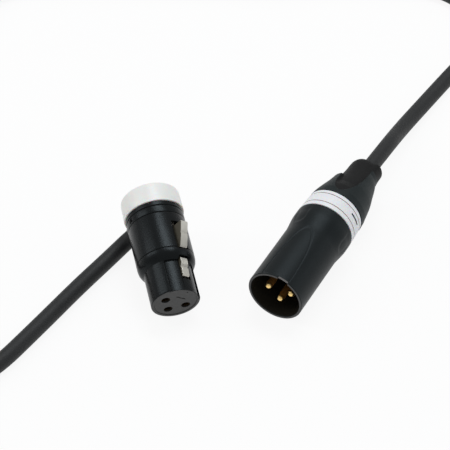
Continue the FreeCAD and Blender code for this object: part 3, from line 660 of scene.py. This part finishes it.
# Painted shade: the faces in the two fine grooves are painted brown.
groove_painted_shade = finish("groove_painted_shade", ((0.38, 0.26, 0.20), (0.48, 0.35, 0.28)),
                      drift=(300, 2), gloss=(900, 2, 0.1, 0.5), grain=(1500, 2, 0.00002))
paint(coding_ring, groove_painted_shade, male, lambda spot, normal:
      spot.xy.length > 9.5 and any(start < spot.z < end for start, end in GROOVES))
slot_shadow = surface(
    "slot_shadow",
    lambda where: noise(where, 300, 2).mix((0.02, 0.022, 0.025), (0.04, 0.043, 0.047)),
    lambda where: 0.6, lambda where: (noise(where, 1500, 2), 0.00002))
paint(coding_ring, slot_shadow, slot_place, lambda spot, normal:
      spot.x > 0 and SLOT_FLOOR - 0.1 < spot.xy.length < SLOT_FLOOR + 0.6
      and abs(spot.y) < SLOT_HALF + 0.05 and SLOT_START - 0.05 < spot.z < SLOT_END + 0.05)
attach(coding_ring, "lead")
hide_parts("coding_ring")

# ------------------------------------------------------------------ strain boot
# The boot is moulded in matt black plastic and screws onto the shell. Its skirt stops at a
# step that sweeps round an oval thumb scoop, and its neck tapers to a round mouth.

BOOT_START = 41.85
BOOT_END = 65.8
BOOT_RADIUS = 10
SCOOP_ANGLE = 5
SCOOP_START = 43.8
SCOOP_SWEEP = 0.0103
SCOOP_LENGTH = 18
STEP_LENGTH = 10.7
LOBE_ANGLE = -68
LOBE_WIDTH = 50
LEAN = 0.55
LEAN_ANGLE = 93


def along(value, *stops):
    """The level at a value on a line through (value, level) stops."""
    for (start, low), (stop, high) in zip(stops, stops[1:]):
        if value <= stop:
            return low + (high - low) * min(max((value - start) / (stop - start), 0), 1)
    return stops[-1][1]


def scoop_edge(angle):
    """Where the skirt ends: round the oval scoop, and at a square step on its left."""
    side = apart(angle, SCOOP_ANGLE)
    return SCOOP_START + min(SCOOP_SWEEP * side ** 2, STEP_LENGTH if side < 0 else SCOOP_LENGTH)


def boot_outside(angle, radius, height):
    """Neck, skirt and the edge between them, which fades out on one side of the scoop."""
    in_bore = radius < 3.8
    in_thread = radius < 8.3 and height < 44
    if in_bore or in_thread:
        return radius, height
    lobe = math.exp(-(apart(angle, LOBE_ANGLE) / LOBE_WIDTH) ** 2)
    skirt = along(height, (41, 10.0), (44.5, 9.8 - 0.3 * lobe), (50.2, 8.5 - 0.1 * lobe),
                  (54.5, 7.25 + 0.4 * lobe), (60, 5.85 + 0.7 * lobe))
    neck = along(height, (41, 9.5), (44.5, 9.3), (47.4, 8.72), (50.2, 7.55), (55.5, 6.3),
                 (60.0, 5.5), (64.0, 4.95), (65.0, 4.6), (65.5, 4.3), (65.8, 4.0))
    edge = scoop_edge(angle)
    share = max(1 - smooth(edge - 0.25, edge + 0.25, height), smooth(32, 62, apart(angle, 0)))
    lean = LEAN * smooth(43, 53, height) * (1 - smooth(57, 64, height))
    lean *= math.cos(math.radians(apart(angle, LEAN_ANGLE)))
    return radius / BOOT_RADIUS * (neck + (max(skirt, neck) - neck) * share + lean), height


boot_profile = stepped(eased([
    (8.28, BOOT_START), (BOOT_RADIUS, BOOT_START, 0.25), (BOOT_RADIUS, BOOT_END - 0.02),
    (3.7, BOOT_END), (3.05, 58.1), (4.05, 58.1), (7.22, 47.6), (8.28, 47.4)]),
    42.0, BOOT_END, 0.22)
boot = turned("screw_boot", boot_profile, male, 240, boot_outside)
boot_black = finish("boot_black", ((0.0105, 0.0155, 0.0162), (0.0150, 0.0210, 0.0218)),
                    drift=(140, 3), gloss=(1300, 2, 0.1, 0.45), grain=(3000, 3, 0.00004),
                    Specular_IOR_Level=0.15)
boot.data.materials.append(boot_black)
# Painted shade: beyond the skirt's edge, the neck and the scoop's floor get a darker, more neutral
# black.
neck_painted_shade = finish("neck_painted_shade", ((0.0080, 0.0082, 0.0080), (0.0120, 0.0122, 0.0120)),
                    drift=(140, 3), gloss=(1300, 2, 0.1, 0.5), grain=(3000, 3, 0.00004),
                    Specular_IOR_Level=0.13)
paint(boot, neck_painted_shade, male, lambda spot, normal:
      spot.z > scoop_edge(math.degrees(math.atan2(spot.y, spot.x))) - 0.2)
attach(boot, "boot")
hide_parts("strain_boot")

# ------------------------------------------------------------------ contacts
# Pins and sockets are turned brass under hard gold. The pins end in round tips that catch
# the light, and have solder cups at the rear.

PIN_RADIUS = 1.2
PIN_TIP = 2.4
PIN_END = 24.5
SOLDER_CUP_RADIUS = 0.8
SOLDER_CUP_DEPTH = 2.5

gold = finish("hard_gold", ((0.93, 0.62, 0.22), (0.98, 0.74, 0.34)), drift=(500, 2),
              gloss=(1500, 2, 0.08, 0.26), grain=(3000, 2, 0.00001), Metallic=1.0)
shank_gold = finish("shank_gold", ((0.20, 0.085, 0.018), (0.28, 0.125, 0.03)),
                    drift=(500, 2), gloss=(1500, 2, 0.08, 0.34), grain=(3000, 2, 0.00001),
                    Metallic=0.35)
dome = [(PIN_RADIUS * math.sin(math.radians(angle)),
         PIN_TIP + PIN_RADIUS * (1 - math.cos(math.radians(angle)))) for angle in range(0, 91, 10)]
cup_floor = PIN_END - SOLDER_CUP_DEPTH
shank = [(PIN_RADIUS, PIN_END), (SOLDER_CUP_RADIUS, PIN_END), (SOLDER_CUP_RADIUS, cup_floor),
         (0, cup_floor)]
for number in (1, 2, 3):
    seat = male.inverted() @ middle(f"male_pin_{number}")
    pin = turned(f"gold_pin_{number}", dome + shank,
                 male @ Matrix.Translation((seat.x, seat.y, 0)), 48)
    pin.data.materials.append(gold)
    paint(pin, shank_gold, male, lambda spot, normal: spot.z > PIN_TIP + PIN_RADIUS)
    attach(pin, "lead")
    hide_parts(f"male_pin_{number}")


def repaint(material, *names):
    """Give CAD nodes that stay in view their finish."""
    for name in names:
        node = frame["nodes"][name]
        node.data.materials.clear()
        node.data.materials.append(material)


socket_gold = finish("socket_gold", ((0.10, 0.06, 0.02), (0.16, 0.10, 0.04)), drift=(500, 2),
                     gloss=(1500, 2, 0.1, 0.4), grain=(3000, 2, 0.00001), Metallic=1.0)
repaint(socket_gold, *[f"female_contact_{number}" for number in (1, 2, 3)])

# ------------------------------------------------------------------ contact blocks
# The blocks that carry the contacts are moulded plastic, black at the bottom of the cup, in
# the chuck and in the clamp. The one in the nose is painted dark grey like the rim round its
# face: painted light, where the face is lit from the front.

black_plastic = finish("pin_block_black", ((0.006, 0.006, 0.0055), (0.010, 0.010, 0.0095)),
                       drift=(260, 3), gloss=(900, 2, 0.1, 0.5), grain=(2000, 2, 0.00003))
# The nose's block takes the same grey, painted light on the lit face.
repaint(lit_face_grey, "female_insert")
repaint(black_plastic, "male_insert", "cable_chuck", "clamp_base")

# ------------------------------------------------------------------ small parts inside
# The clamp's bar and screws and the latch's pin are plain steel, the set screws are
# blackened, the ring round the cable is soft rubber, and the wires have red sleeves.

steel = finish("bright_steel", ((0.45, 0.45, 0.45), (0.6, 0.6, 0.6)), drift=(300, 2),
               gloss=(900, 2, 0.15, 0.28), grain=(2500, 2, 0.00002), Metallic=1.0)
rubber = finish("soft_rubber", ((0.010, 0.010, 0.010), (0.018, 0.018, 0.018)),
                drift=(300, 2), gloss=(900, 2, 0.1, 0.6), grain=(1500, 2, 0.00004))
oxide = finish("black_oxide", ((0.012, 0.012, 0.013), (0.03, 0.03, 0.032)), drift=(400, 2),
               gloss=(900, 2, 0.15, 0.35), grain=(2500, 2, 0.00002), Metallic=0.6)
sleeves = finish("wire_sleeves", ((0.35, 0.03, 0.03), (0.5, 0.06, 0.05)), drift=(200, 2),
                 gloss=(900, 2, 0.1, 0.4), grain=(1500, 2, 0.00003))
repaint(steel, "latch_pin", "clamp_bar", "clamp_screws")
repaint(rubber, "cable_grommet")
repaint(oxide, "collar_screws")
repaint(sleeves, "female_wires", "male_wires")
